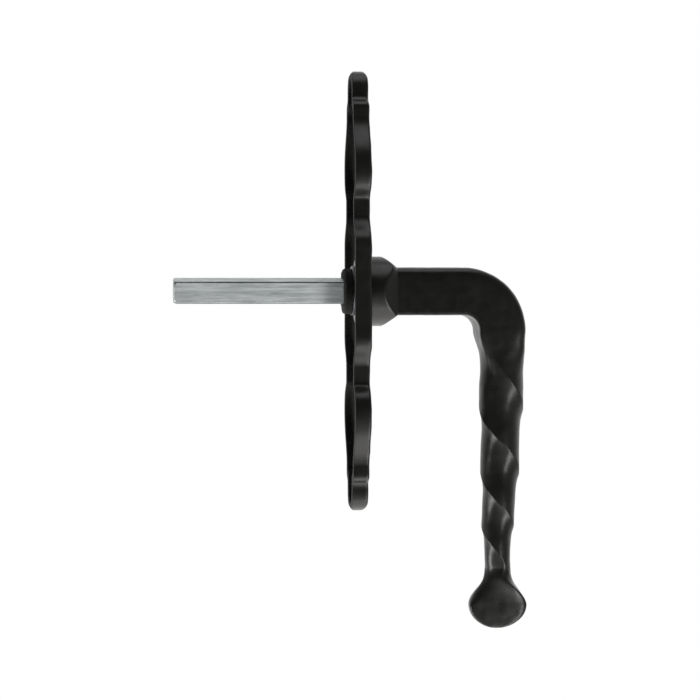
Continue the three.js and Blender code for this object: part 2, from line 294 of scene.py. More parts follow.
def makeZinc(name):
    look = zincLook
    material, nodes, links, shader = newMaterial(name)
    streak = noiseNode(nodes, links, look["streakScale"], 6.0, (1, 0.07, 1), 0.7)
    color = rampNode(nodes, links, streak, [(0.36, look["dark"]), (0.62, look["light"])])
    # the drawn bar's rounded edges, where the mask is 1, are painted dark: painted shade along both edges
    shadeAndRawSkin = nodes.new("ShaderNodeAttribute")
    shadeAndRawSkin.attribute_name = "shadeAndRawSkin"
    paintedEdgeShade = nodes.new("ShaderNodeMix")
    paintedEdgeShade.data_type = "RGBA"
    links.new(shadeAndRawSkin.outputs["Fac"], paintedEdgeShade.inputs["Factor"])
    links.new(color, paintedEdgeShade.inputs["A"])
    paintedEdgeShade.inputs["B"].default_value = (*look["edge"], 1)
    rough = rangeNode(nodes, links, noiseNode(nodes, links, look["roughScale"]), 0.3, 0.7,
                      look["roughLow"], look["roughHigh"])
    normal = bumpNode(nodes, links, streak, 0.5, look["streakDepth"])
    links.new(paintedEdgeShade.outputs["Result"], shader.inputs["Base Color"])
    links.new(rough, shader.inputs["Roughness"])
    links.new(normal, shader.inputs["Normal"])
    shader.inputs["Metallic"].default_value = 1.0
    return material


def makeSteel(name, dark, light):
    material, nodes, links, shader = newMaterial(name)
    cloud = noiseNode(nodes, links, 400.0, 5.0)
    color = rampNode(nodes, links, cloud, [(0.3, dark), (0.7, light)])
    rough = rangeNode(nodes, links, noiseNode(nodes, links, 900.0), 0.3, 0.7, 0.25, 0.42)
    normal = bumpNode(nodes, links, noiseNode(nodes, links, 2200.0), 0.3, 0.00001)
    links.new(color, shader.inputs["Base Color"])
    links.new(rough, shader.inputs["Roughness"])
    links.new(normal, shader.inputs["Normal"])
    shader.inputs["Metallic"].default_value = 1.0
    return material


def makeNylon(name):
    material, nodes, links, shader = newMaterial(name)
    cloud = noiseNode(nodes, links, 300.0, 4.0)
    color = rampNode(nodes, links, cloud, [(0.3, (0.016, 0.017, 0.018)), (0.7, (0.024, 0.025, 0.027))])
    rough = rangeNode(nodes, links, cloud, 0.3, 0.7, 0.45, 0.6)
    normal = bumpNode(nodes, links, noiseNode(nodes, links, 1500.0), 0.3, 0.00001)
    links.new(color, shader.inputs["Base Color"])
    links.new(rough, shader.inputs["Roughness"])
    links.new(normal, shader.inputs["Normal"])
    return material


plateCoat = makeBlackCoat("plateCoat")
leverCoat = makeBlackCoat("leverCoat")
zincPlate = makeZinc("zincPlate")
springSteel = makeSteel("springSteel", (0.3, 0.3, 0.31), (0.5, 0.51, 0.52))
blackedSteel = makeSteel("blackedSteel", (0.04, 0.04, 0.042), (0.09, 0.09, 0.095))
blackNylon = makeNylon("blackNylon")
print("materials ready")

plateLow, plateHigh = boxOf("backplate")
plate = {
    "top": plateHigh.z,
    "lobe": plateHigh.x,
    "depth": -plateLow.y,
    "wall": 2.5,
    "waist": 12.6,
    "neck": 11.1,
    "tip": 7.8,
    "middleLobe": 15.5,
    "waistStart": 26.0,
    "waistEnd": 32.0,
    "outerLobe": 42.5,
    "neckFromTip": 16.7,
    "neckLength": 3.2,
    "shoulder": 5.4,
    "tipStraight": 1.0,
    "frontRound": 0.9,
    "frontRise": 0.15,
    "tipRound": 3.4,
    "tipDress": 0.42,
    "tipBack": 1.4,
    "tipBackLength": 2.6,
    "tipCurve": 0.96,
    "rimRound": 0.16,
    "cornerRound": 1.0,
    "screwFromTip": 19.5,
    "screwHole": 2.25,
    "screwHead": 4.4,
    "bore": 9.8,
    "boreChamfer": 0.4,
    "rimDull": 0.8,
    "wobble": 0.22,
    "hammer": 0.3,
    "hammerFree": (12.5, 17.0),
    "ceilingRough": 0.12,
}


def quarterOutline(inset):
    # Cubic stretches from the side of the middle lobe up to the tip, all moved in by inset
    p = plate
    lobe, waist = p["lobe"] - inset, p["waist"] - inset
    neck, tip, top = p["neck"] - inset, p["tip"] - inset, p["top"] - inset
    neckStart = p["top"] - p["neckFromTip"]
    neckEnd = neckStart + p["neckLength"] - inset
    shoulder = neckEnd + p["shoulder"]
    straight = shoulder + p["tipStraight"]

    def line(a, b):
        a, b = np.array(a, float), np.array(b, float)
        return [a, mix(a, b, 1 / 3), mix(a, b, 2 / 3), b]

    return [
        (line((lobe, 0), (lobe, p["middleLobe"])), 18),
        ([(lobe, p["middleLobe"]),
          (lobe, mix(p["middleLobe"], p["waistStart"], 0.51)),
          (mix(waist, lobe, 0.26), mix(p["middleLobe"], p["waistStart"], 0.56)),
          (waist, p["waistStart"])], 26),
        (line((waist, p["waistStart"]), (waist, p["waistEnd"])), 10),
        ([(waist, p["waistEnd"]),
          (mix(waist, lobe, 0.1), mix(p["waistEnd"], p["outerLobe"], 0.27)),
          (lobe, mix(p["waistEnd"], p["outerLobe"], 0.2)),
          (lobe, p["outerLobe"])], 24),
        ([(lobe, p["outerLobe"]),
          (lobe, mix(p["outerLobe"], neckStart, 0.5)),
          (mix(neck, lobe, 0.15), mix(p["outerLobe"], neckStart, 0.68)),
          (neck, neckStart)], 34),
        (line((neck, neckStart), (neck, neckEnd)), 7),
        ([(neck, neckEnd),
          (neck, mix(neckEnd, shoulder, 0.63)),
          (tip, mix(neckEnd, shoulder, 0.34)),
          (tip, shoulder)], 14),
        (line((tip, shoulder), (tip, straight)), 5),
        ([(tip, straight),
          (tip, mix(straight, top, 0.64)),
          (tip * 0.6, top),
          (0, top)], 24),
    ]


def plateOutline(inset):
    # The quarter's stretches as points, then mirrored to the left and below
    runs = []
    for points, count in quarterOutline(inset):
        a, b, c, d = (np.array(q, float) for q in points)
        t = np.linspace(0, 1, count, endpoint=False)[:, None]
        s = 1 - t
        runs.append(s**3 * a + 3 * s * s * t * b + 3 * s * t * t * c + t**3 * d)
    right = np.vstack(runs)
    tip = np.array([[0.0, plate["top"] - inset]])
    left = right[::-1] * (-1, 1)
    upper = np.vstack([right, tip, left])
    lower = upper[1:-1][::-1] * (1, -1)
    return np.vstack([upper, lower])


def hammerMarks(x, z):
    # Soft lowest of many shallow bowls around scattered centres, in millimetres
    rng = np.random.default_rng(7)
    stepX, stepZ = 7.5, 7.0
    gridX, gridZ = np.meshgrid(np.arange(-21, 22, stepX), np.arange(-80, 81, stepZ))
    centres = np.stack([gridX.ravel(), gridZ.ravel()], axis=1)
    centres += rng.uniform(-2.6, 2.6, centres.shape)
    depths = rng.uniform(0.0, 0.1, len(centres))
    total = np.zeros(x.shape)
    for (cx, cz), depth in zip(centres, depths):
        bowl = ((x - cx) ** 2 + (z - cz) ** 2) / 42.0 + depth
        total += np.exp(-9 * bowl)
    return -np.log(total + 1e-9) / 9


def makeBackplate():
    p = plate
    depth, wall = p["depth"], p["wall"]
    # the section from the middle of the front face, round the edge and rim, to the hollow's middle:
    # inset from the outline, depth from the rim plane, width left beside the middle line, and the share of
    # dull raw skin with a colour darkened as painted shade, rising over the back rim into the hollow
    insets, depths, shares, hollow = [], [], [], []

    def add(inset, deep, share, inside):
        insets.append(inset)
        depths.append(deep)
        shares.append(share)
        hollow.append(inside)

    radius, rim, corner = p["frontRound"], p["rimRound"], p["cornerRound"]
    inner, dull = depth - wall, p["rimDull"]
    quarter = np.linspace(0, math.pi / 2, 7)
    for share in np.linspace(0, 1, 26, endpoint=False):
        add(radius, depth, share, 0)
    for t in quarter:
        add(radius * (1 - math.sin(t)), depth - radius * (1 - math.cos(t)), 1, 0)
    for deep in np.linspace(depth - radius, rim, 7)[1:-1]:
        add(0, deep, 1, 0)
    for t in quarter:
        add(rim * (1 - math.cos(t)), rim * (1 - math.sin(t)), 1, dull * math.sin(t))
    for t in quarter:
        add(wall - rim * (1 - math.sin(t)), rim * (1 - math.cos(t)), 1, mix(dull, 1, math.sin(t)))
    for deep in np.linspace(rim, inner - corner, 4)[1:-1]:
        add(wall, deep, 1, 1)
    for t in quarter:
        add(wall + corner * (1 - math.cos(t)), inner - corner * (1 - math.sin(t)), 1, 1)
    for share in np.linspace(1, 0, 22)[1:]:
        add(wall + corner, inner, share, 1)
    outlines = {}
    rows = []
    for inset, deep, share in zip(insets, depths, shares):
        key = round(inset, 4)
        if key not in outlines:
            outlines[key] = plateOutline(inset)
        line = outlines[key]
        rows.append(np.stack([line[:, 0] * share, np.full(len(line), -deep), line[:, 1]], axis=1))
    grid = np.array(rows)
    hollow = np.repeat(np.array(hollow, float)[:, None], grid.shape[1], axis=1)
    # hand-worked unevenness: the outline wanders a little, the front has shallow hammer marks
    # except around the bore
    flat = grid[..., [0, 2]]
    edge = smoothStep(3, 10, np.abs(grid[..., 0]))
    grid[..., 0] += np.sign(grid[..., 0]) * edge * p["wobble"] * ripple(flat, 23.0, 3)
    front = smoothStep(p["rimRound"], depth, -grid[..., 1]) * (1 - hollow)
    marks = hammerMarks(grid[..., 0], grid[..., 2])
    away = smoothStep(*p["hammerFree"], np.hypot(grid[..., 0], grid[..., 2]))
    grid[..., 1] -= front * p["frontRise"]
    # both ends are dressed round, from the front and from the back
    ends = np.clip((np.abs(grid[..., 2]) - p["top"] + p["tipRound"]) / p["tipRound"], 0, 1)
    grid[..., 1] *= 1 - p["tipDress"] * (1 - np.sqrt(1 - p["tipCurve"] * ends**2)) * (1 - hollow)
    back = np.clip((np.abs(grid[..., 2]) - p["top"]) / p["tipBackLength"] + 1, 0, 1)
    lift = p["tipBack"] * (1 - np.sqrt(1 - p["tipCurve"] * back**2))
    grid[..., 1] -= lift * (1 + grid[..., 1] / depth)
    grid[..., 1] -= front * away * p["hammer"] * np.clip(marks, 0, 1.2)
    ceiling = hollow * smoothStep(inner - 0.4, inner, -grid[..., 1])
    grid[..., 1] += ceiling * p["ceilingRough"] * ripple(flat, 4.0, 11)
    piece = pieceFromGrid("backplateCasting", grid * mm, "plate", "backplate",
                          hollow, 35)
    over, bevel = 2.0, p["boreChamfer"]
    cutters = [turnedCutter([(0, -depth - over), (p["bore"] + over + bevel, -depth - over),
                             (p["bore"], -depth + bevel), (p["bore"], over), (0, over)])]
    for side in (-1, 1):
        sink = p["screwHead"] - p["screwHole"]
        hole = turnedCutter([(0, -depth - over), (p["screwHead"] + over, -depth - over),
                             (p["screwHole"], -depth + sink), (p["screwHole"], over), (0, over)])
        hole.data.transform(Matrix.Translation((0, 0, side * (p["top"] - p["screwFromTip"]) * mm)))
        cutters.append(hole)
    cutOut(piece, cutters)
    smoothFaces(piece.data, 35)
    paint(piece, plateCoat)


makeBackplate()
print("backplate made")

leverLow, leverHigh = boxOf("lever_handle")
screwLow, screwHigh = boxOf("spindle_grub_screw")
lever = {
    "neckRadius": 8.0,
    "neckReach": 2.7,
    "neckChamfer": 0.6,
    "grooveAt": -1.05,
    "grooveWidth": 1.5,
    "grooveDepth": 0.55,
    "recessRadius": 10.9,
    "recessFront": -7.85,
    "collarBack": 5.8,
    "collarRadius": leverHigh.x,
    "collarLength": 5.4,
    "collarEdge": 0.5,
    "hoodLength": 4.8,
    "barHalf": 8.45,
    "barCorner": 6.0,
    "barCornerLow": 26.0,
    "socketHalf": 4.35,
    "socketFront": -27.8,
    "socketTurn": -8.0,
    "reach": 53.6,
    "bend": 13.9,
    "lean": 1.3,
    "drop": -leverLow.z,
    "gripTop": 8.1,
    "gripFoot": 4.6,
    "gripTaper": 1.2,
    "crestRise": 0.03,
    "flute": 0.165,
    "fluteFloor": 0.42,
    "twistStart": 13.0,
    "crestDrops": (29.5, 54.0, 76.0, 93.5),
    "squareEnd": 13.0,
    "twistFull": 30.0,
    "paddleHalf": 10.2,
    "paddleThick": 3.4,
    "paddleTip": 2.6,
    "paddleStart": 99.8,
    "paddleWidest": 111.2,
    "paddleNeckCorner": 2.6,
    "paddleCorner": 8.0,
    "paddleFoot": 0.12,
    "paddleBlend": (93.8, 107.2),
    "bevelStart": 100.4,
    "bevelSlide": 0.88,
    "bevelSlope": 1.1,
    "bevelLeast": 0.6,
    # drop below the spindle axis and reach from the wall, at each swell and hollow of the grip
    "innerSide": ((8, 42.5), (14.7, 45.2), (20.4, 46.3), (27, 46.7), (36.5, 46.3), (51.5, 47.1),
                  (59, 46.8), (75, 47.5), (81, 47.3), (98, 48.5), (102.4, 47.8), (111.6, 42.6)),
    "outerSide": ((17, 62.5), (30, 61.9), (40, 61.9), (54.5, 60.5), (62, 60.5), (77, 58.8),
                  (82, 58.7), (95, 57.3), (102.4, 58.2), (111.6, 63.2)),
    "footMiddle": 52.3,
    "grubPlace": -(screwLow.y + screwHigh.y) / 2,
    "grubHole": 2.7,
    "uneven": 0.07,
    "sawnEnd": 0.16,
    "pitReach": 30.7,
    "pitHeight": 4.9,
    "pitDepth": 0.16,
    "pitSize": 0.75,
}


def softCurve(at, places, values):
    # Cubic pieces through the values; a slope is taken across both neighbours and is 0 where the
    # values turn back and at the two ends
    places, values = np.array(places, float), np.array(values, float)
    steps = np.diff(values) / np.diff(places)
    across = (values[2:] - values[:-2]) / (places[2:] - places[:-2])
    slopes = np.zeros(len(places))
    slopes[1:-1] = np.where(steps[1:] * steps[:-1] > 0, across, 0)
    at = np.clip(at, places[0], places[-1])
    i = np.clip(np.searchsorted(places, at) - 1, 0, len(places) - 2)
    h = places[i + 1] - places[i]
    t = (at - places[i]) / h
    start = (1 + 2 * t) * (1 - t) ** 2 * values[i] + t * (1 - t) ** 2 * h * slopes[i]
    return start + t * t * (3 - 2 * t) * values[i + 1] - t * t * (1 - t) * h * slopes[i + 1]


def crestTurn(drop):
    # Turn of the crest in radians: half a turn from one crest place to the next
    places = [lever["twistStart"], *lever["crestDrops"], lever["paddleWidest"]]
    return softCurve(drop, places, np.radians([-45, 0, 180, 360, 540, 630]))


def superRadius(angle, a, b, power):
    # (|cos/a|^n + |sin/b|^n)^(-1/n): a rounded box for large n, an ellipse for 2
    return (np.abs(np.cos(angle) / a) ** power + np.abs(np.sin(angle) / b) ** power) ** (-1 / power)


def softLeast(a, b, sharp):
    # The smaller of two sizes, rounded where they meet: low - log(1 + exp(-k gap)) / k
    return np.minimum(a, b) - np.log1p(np.exp(-sharp * np.minimum(np.abs(a - b), 50))) / sharp


def outlineAt(drop):
    # Half width and middle of the grip at a drop: curves through both sides, then a half ellipse
    p = lever
    inner = softCurve(drop, *zip(*p["innerSide"]))
    outer = softCurve(drop, *zip(*p["outerSide"]))
    widest = p["innerSide"][-1][0]
    t = np.clip((drop - widest) / (p["drop"] - widest), 0, 1)
    return (outer - inner) / 2 * np.sqrt(1 - t**2), mix((outer + inner) / 2, p["footMiddle"], t**2)


def sectionRadius(angle, reach, drop):
    # Collar cylinder met by four sloping flats, square bar, two-crested grip, flat paddle
    p = lever
    crest = crestTurn(drop)
    hoodEnd = p["collarBack"] + p["collarLength"] + p["hoodLength"]
    rise = np.maximum(0, (hoodEnd - reach) / p["hoodLength"])
    size = p["barHalf"] + rise * (p["collarRadius"] - p["barHalf"])
    power = mix(p["barCornerLow"], p["barCorner"], smoothStep(-0.3, 0.3, np.sin(angle)))
    box = superRadius(angle, size, size, power)
    square = softLeast(box, p["collarRadius"], 5.0)
    square = mix(box, square, smoothStep(hoodEnd + 3, hoodEnd, reach))

    taper = np.clip((drop - p["twistStart"]) / (p["paddleStart"] - p["twistStart"]), 0, None)
    grip = p["gripTop"] + (p["gripFoot"] - p["gripTop"]) * taper ** p["gripTaper"]
    # the flute falls steeply below its crest and rises slowly to the next: s/f exp(1 - s/f)
    share = np.mod(crest - angle, math.pi) / math.pi / p["fluteFloor"]
    flute = share * np.exp(1 - share) * (1 - (share * p["fluteFloor"]) ** 3)
    twisted = grip * (1 + p["crestRise"] - p["flute"] * flute)

    widen = smoothStep(p["paddleStart"], p["paddleWidest"], drop)
    wide = np.maximum(outlineAt(drop)[0], 0.01)
    # the paddle thins steadily to its foot and rounds off only close to the rim
    thin = np.clip((drop - p["paddleStart"]) / (p["drop"] - p["paddleStart"]), 0, 1)
    flatness = smoothStep(p["paddleStart"], p["paddleWidest"] - 2, drop)
    flatness = mix(p["paddleNeckCorner"], p["paddleCorner"], flatness)
    foot = np.minimum(1, wide / p["paddleHalf"]) ** p["paddleFoot"]
    foot = np.where(drop > p["paddleWidest"], foot, 1.0)
    thick = mix(mix(p["gripFoot"], p["paddleThick"], widen), p["paddleTip"], thin) * foot
    paddle = superRadius(angle - crest, wide, thick, flatness)
    # a flat falls away behind a slanting line across the near face, towards the inner side, down to
    # a least share of the thickness
    line = (p["bevelStart"] - drop) * p["bevelSlide"]
    lean = np.cos(angle) - p["bevelSlope"] * np.sin(angle)
    bevel = np.maximum(thick - p["bevelSlope"] * line, p["bevelLeast"] * thick)
    paddle = softLeast(paddle, bevel / np.maximum(lean, 0.05), 3.0)

    gripped = mix(square, twisted, smoothStep(p["squareEnd"], p["twistFull"], drop))
    return mix(gripped, paddle, smoothStep(*p["paddleBlend"], drop))


def neckRings(angles):
    # From the bottom of the square socket, out of it, over the neck's end and groove, into the
    # collar's recess and out to the collar's edge: share of square, half size or radius, and y
    p = lever
    rings = [(1, 0.0, p["socketFront"])]
    rings += [(1, h, p["socketFront"]) for h in (2.0, 4.0, p["socketHalf"])]
    rings += [(1, p["socketHalf"], y)
              for y in np.linspace(p["socketFront"] + 0.4, p["neckReach"] - 0.3, 22)]
    rings += [(1, p["socketHalf"] + 0.3, p["neckReach"])]
    chamfer, edge = p["neckChamfer"], p["neckRadius"]
    rings += [(0.5, (p["socketHalf"] + edge) / 2, p["neckReach"] + 0.02)]
    rings += [(0, r, p["neckReach"]) for r in (edge - chamfer - 0.3, edge - chamfer)]
    grooveBack = p["grooveAt"] + p["grooveWidth"] / 2
    grooveFront = p["grooveAt"] - p["grooveWidth"] / 2
    rings += [(0, edge, y) for y in np.linspace(p["neckReach"] - chamfer, grooveBack, 8)]
    rings += [(0, edge - p["grooveDepth"], y) for y in (grooveBack, grooveFront)]
    rings += [(0, edge, y) for y in np.linspace(grooveFront, p["recessFront"], 9)]
    rings += [(0, p["recessRadius"], y)
              for y in (p["recessFront"], p["recessFront"] + 1, -p["collarBack"])]
    outer, soft = p["collarRadius"], p["collarEdge"]
    rings += [(0, outer - soft * (1 - math.sin(t)), -p["collarBack"] - soft * (1 - math.cos(t)))
              for t in np.linspace(0, math.pi / 2, 5)]
    squareShare, size, y = (np.array(v)[:, None] for v in zip(*rings))
    turned = angles - math.radians(p["socketTurn"])
    radius = mix(size, size * superRadius(turned, 1, 1, 24), squareShare)
    return alongAxis(radius, y[:, 0], angles)


def easeRows(values, start, stop, reach=30):
    # Values along the grip, averaged over neighbouring rings with a bell weight
    soft = np.exp(-np.linspace(-2, 2, 2 * reach + 1) ** 2)
    soft /= soft.sum()
    run = np.pad(values[start:stop, 0], reach, mode="edge")
    eased = values.copy()
    eased[start:stop, 0] = np.convolve(run, soft, "valid")
    return eased


def armRings(angles):
    # Rings across the centre line: straight bar, quarter bend, straight grip to the foot
    p = lever
    bendStart = p["reach"] - p["bend"]
    handle = p["bend"] * 4 / 3 * (math.sqrt(2) - 1)
    hoodEnd = p["collarBack"] + p["collarLength"] + p["hoodLength"]
    collarEnd = p["collarBack"] + p["collarLength"]
    straight = np.concatenate([
        np.linspace(p["collarBack"] + p["collarEdge"] + 0.3, collarEnd - 0.8, 8),
        np.linspace(collarEnd - 0.6, hoodEnd + 0.4, 36),
        np.linspace(hoodEnd + 0.8, bendStart, 44, endpoint=False),
    ])
    first = np.stack([straight, np.zeros(len(straight))], axis=1)
    t = np.linspace(0, 1, 70, endpoint=False)[:, None]
    a, b = np.array([bendStart, 0]), np.array([bendStart + handle, 0])
    c, d = np.array([p["reach"], p["bend"] - handle]), np.array([p["reach"], p["bend"]])
    bend = (1 - t) ** 3 * a + 3 * (1 - t) ** 2 * t * b + 3 * (1 - t) * t * t * c + t**3 * d
    bendWay = 3 * (1 - t) ** 2 * (b - a) + 6 * (1 - t) * t * (c - b) + 3 * t * t * (d - c)
    grip = np.linspace(p["bend"], p["paddleWidest"], 340, endpoint=False)
    foot = mix(p["paddleWidest"], p["drop"], np.sin(np.linspace(0, math.pi / 2, 36)))
    drops = np.concatenate([grip, foot])
    leaned = p["reach"] - p["lean"] * (drops - p["bend"]) / (p["drop"] - p["bend"])
    last = np.stack([leaned, drops], axis=1)
    places = np.vstack([first, bend, last])
    gripWay = np.array([-p["lean"], p["drop"] - p["bend"]])
    ways = np.vstack([np.tile([1.0, 0.0], (len(first), 1)), bendWay, np.tile(gripWay, (len(last), 1))])
    ways /= np.linalg.norm(ways, axis=1, keepdims=True)
    reach, drop = places[:, :1], places[:, 1:]
    radius = sectionRadius(angles[None], reach, drop)
    # each ring is scaled and slid along its own width until it fills the outline
    outer = (radius * np.sin(angles)).max(axis=1, keepdims=True)
    inner = (-radius * np.sin(angles)).max(axis=1, keepdims=True)
    half, middle = outlineAt(drop)
    fit = smoothStep(p["bend"], p["bend"] + 8, drop)
    start = len(first) + len(bend)
    stop = start + len(grip)
    scale = easeRows(2 * half / (outer + inner), start, stop)
    slide = fit * easeRows(middle - reach - (outer - inner) / 2 * scale, start, stop)
    radius = radius * mix(1.0, scale, fit)
    radius[-1] = 0
    # outward from the line, in y and z, for a way of (reach, drop)
    outY, outZ = -ways[:, 1:], ways[:, :1]
    x = -radius * np.cos(angles)
    y = -reach - slide + outY * radius * np.sin(angles)
    z = -drop + outZ * radius * np.sin(angles)
    return np.stack([x, y, z], axis=-1), radius


def makeLever():
    p = lever
    angles = np.linspace(0, 2 * math.pi, 144, endpoint=False)
    neck = neckRings(angles)
    arm, radius = armRings(angles)
    # casting and hammer unevenness, fading out at the collar and at the foot
    steps = np.roll(arm, -1, axis=1) - np.roll(arm, 1, axis=1)
    along = np.gradient(arm, axis=0)
    normal = np.cross(steps, along)
    normal = normal / np.maximum(np.linalg.norm(normal, axis=-1, keepdims=True), 1e-9)
    centre = arm.mean(axis=1, keepdims=True)
    normal *= np.sign(np.sum(normal * (arm - centre), axis=-1, keepdims=True).mean())
    fade = smoothStep(13, 20, -arm[..., 1]) * smoothStep(0, 3, radius)
    rough = p["uneven"] * (ripple(arm, 11.0, 5) + 0.45 * ripple(arm, 4.0, 8))
    pit = np.hypot(arm[..., 1] + p["pitReach"], arm[..., 2] - p["pitHeight"]) / p["pitSize"]
    rough -= p["pitDepth"] * np.exp(-pit**4) * (arm[..., 0] < 0)
    arm = arm + normal * (rough * fade)[..., None]
    # the sawn end of the neck is a little ragged
    nearEnd = smoothStep(p["neckReach"] - 0.9, p["neckReach"], neck[..., 1])
    neck[..., 1] += p["sawnEnd"] * nearEnd * ripple(neck, 2.4, 21)
    grid = np.vstack([neck, arm])
    # the neck behind the collar is dull and painted dark as shade, like the hollow that it stands in
    neckShade = smoothStep(-p["collarBack"], -p["collarBack"] + 1, neck[..., 1])
    shadeAndRawSkin = np.vstack([neckShade, np.zeros(arm.shape[:2])])
    piece = pieceFromGrid("leverCasting", grid * mm, "lever", "lever_handle", shadeAndRawSkin, 38)
    size, length = p["grubHole"], p["barHalf"] + 1.5
    hole = turnedCutter([(0, 0), (size, 0), (size, length), (0, length)], 48)
    down = Matrix.Rotation(-math.pi / 2, 4, "X")
    hole.data.transform(Matrix.Translation((0, -p["grubPlace"] * mm, 0)) @ down)
    cutOut(piece, [hole])
    smoothFaces(piece.data, 38)
    paint(piece, leverCoat)


makeLever()
print("lever made")

spindleLow, spindleHigh = boxOf("spindle")
spindle = {
    "half": 4.0,
    "edge": 0.5,
    "front": spindleLow.y,
    "back": spindleHigh.y - 0.3,
    "chamfer": 1.2,
    "turn": -11.0,
    "lift": 0.15,
    "edgeBulge": 0.06,
    "uneven": 0.02,
}


def makeSpindle():
    # The square section with cut edges carried along Y; the ends are limited to a cone, and rows
    # that shrink to the axis close them
    p = spindle
    flat = p["half"] - p["edge"]
    run = np.linspace(-flat, flat, 15)
    bevel = np.linspace(0, 1, 4)[1:-1]
    bulge = p["edgeBulge"] * np.sin(math.pi * bevel)
    face = np.stack([np.full(len(run), p["half"]), run], axis=1)
    edge = np.stack([mix(p["half"], flat, bevel), mix(flat, p["half"], bevel)], axis=1) + bulge[:, None]
    side = np.vstack([face, edge])
    section = np.vstack([side @ np.array([[math.cos(a), math.sin(a)], [-math.sin(a), math.cos(a)]])
                         for a in np.arange(4) * math.pi / 2])
    turn = math.radians(p["turn"])
    # a turn about +Y takes (x, z) to (x cos + z sin, -x sin + z cos)
    x = section[:, 0] * math.cos(turn) + section[:, 1] * math.sin(turn)
    z = -section[:, 0] * math.sin(turn) + section[:, 1] * math.cos(turn)
    corner = p["half"] * math.sqrt(2)
    chamferStart = p["back"] - p["chamfer"]
    rows = [(p["front"], 0.0), (p["front"], 0.5), (p["front"], 1.0)]
    rows += [(y, 1.0) for y in np.linspace(p["front"] + 0.4, chamferStart, 180)]
    rows += [(y, 1.0) for y in np.linspace(chamferStart, p["back"], 10)[1:]]
    rows += [(p["back"], 0.5), (p["back"], 0.0)]
    y, share = (np.array(v)[:, None] for v in zip(*rows))
    radius = np.hypot(x, z)[None] * np.ones_like(y)
    limit = corner - np.maximum(0, y - chamferStart) - np.maximum(0, p["front"] + 0.6 - y)
    soft = 0.35 * smoothStep(p["back"] - 0.35, p["back"], y) ** 2
    scale = np.minimum(radius, limit) * (1 - soft / 5) / radius * share
    grid = np.stack([x * scale, np.broadcast_to(y, scale.shape), z * scale], axis=-1)
    wave = p["uneven"] * ripple(grid * (1, 0.25, 1), 3.0, 31)
    across = grid * (1, 0, 1)
    away = across / np.maximum(1e-6, np.linalg.norm(across, axis=-1, keepdims=True))
    grid = grid + away * (wave * (share > 0.9))[..., None]
    # painted shade: the rounded edges along the bar are marked to be painted dark
    shadeAndRawSkin = smoothStep(flat + 0.05, flat + 0.25, np.abs(section).min(axis=1))
    shadeAndRawSkin = shadeAndRawSkin * ((share > 0.9) & (y < p["back"] - 0.01))
    grid[..., 2] += p["lift"]
    piece = pieceFromGrid("squareSpindle", grid * mm, "lever", "spindle", shadeAndRawSkin, 25)
    paint(piece, zincPlate)


makeSpindle()
print("spindle made")


def softLoop(corners, edge=0.12):
    # A closed profile through the corners, each one cut back to a small round of three points
    corners = np.array(corners, float)
    back, ahead = np.roll(corners, 1, axis=0) - corners, np.roll(corners, -1, axis=0) - corners
    back *= edge / np.linalg.norm(back, axis=1, keepdims=True)
    ahead *= edge / np.linalg.norm(ahead, axis=1, keepdims=True)
    points = np.stack([corners + back, corners + (back + ahead) * 0.3, corners + ahead], axis=1)
    loop = points.reshape(-1, 2)
    return np.vstack([loop, loop[:1]])


def turnedRing(name, corners, node, body, material, wave=0.0):
    # The profile turned about the spindle axis and lifted by wave cos(3 angle)
    loop = softLoop(corners)
    angles = np.linspace(0, 2 * math.pi, 144, endpoint=False)
    grid = alongAxis(np.repeat(loop[:, :1], len(angles), axis=1), loop[:, 1], angles)
    grid[..., 1] += wave * np.cos(3 * angles)
    piece = pieceFromGrid(name, grid * mm, body, node, None, 50)
    paint(piece, material)


bushLow, bushHigh = boxOf("bearing_bush")
bush = {
    "inner": 8.3,
    "outer": 9.6,
    "flangeRadius": bushHigh.x,
    "flangeFront": bushLow.y,
    "flangeBack": bushLow.y + 0.8,
    "back": bushHigh.y,
}


def makeBush():
    p = bush
    corners = [(p["inner"], p["flangeFront"]), (p["flangeRadius"], p["flangeFront"]),
               (p["flangeRadius"], p["flangeBack"]), (p["outer"], p["flangeBack"]),
               (p["outer"], p["back"]), (p["inner"], p["back"])]
    turnedRing("bearingBush", corners, "bearing_bush", "plate", blackNylon)


washerLow, washerHigh = boxOf("thrust_washer")
washer = {
    "inner": 8.3,
    "radius": washerHigh.x,
    "front": washerLow.y,
    "back": washerHigh.y,
}


def makeWasher():
    p = washer
    corners = [(p["inner"], p["front"]), (p["radius"], p["front"]),
               (p["radius"], p["back"]), (p["inner"], p["back"])]
    turnedRing("thrustWasher", corners, "thrust_washer", "lever", springSteel)


springLow, springHigh = boxOf("wave_spring")
spring = {
    "inner": 8.3,
    "radius": springHigh.x,
    "middle": (springLow.y + springHigh.y) / 2,
    "thick": 0.35,
    "wave": 0.3,
}


def makeSpring():
    p = spring
    front, back = p["middle"] - p["thick"] / 2, p["middle"] + p["thick"] / 2
    corners = [(p["inner"], front), (p["radius"], front), (p["radius"], back), (p["inner"], back)]
    turnedRing("waveSpring", corners, "wave_spring", "lever", springSteel, p["wave"])


wireLow, wireHigh = boxOf("retaining_ring")
wireRadius = (wireHigh.y - wireLow.y) / 2
snapRing = {
    "wire": wireRadius,
    "radius": wireHigh.z - wireRadius,
    "place": (wireLow.y + wireHigh.y) / 2,
    "gap": 4.0,
}


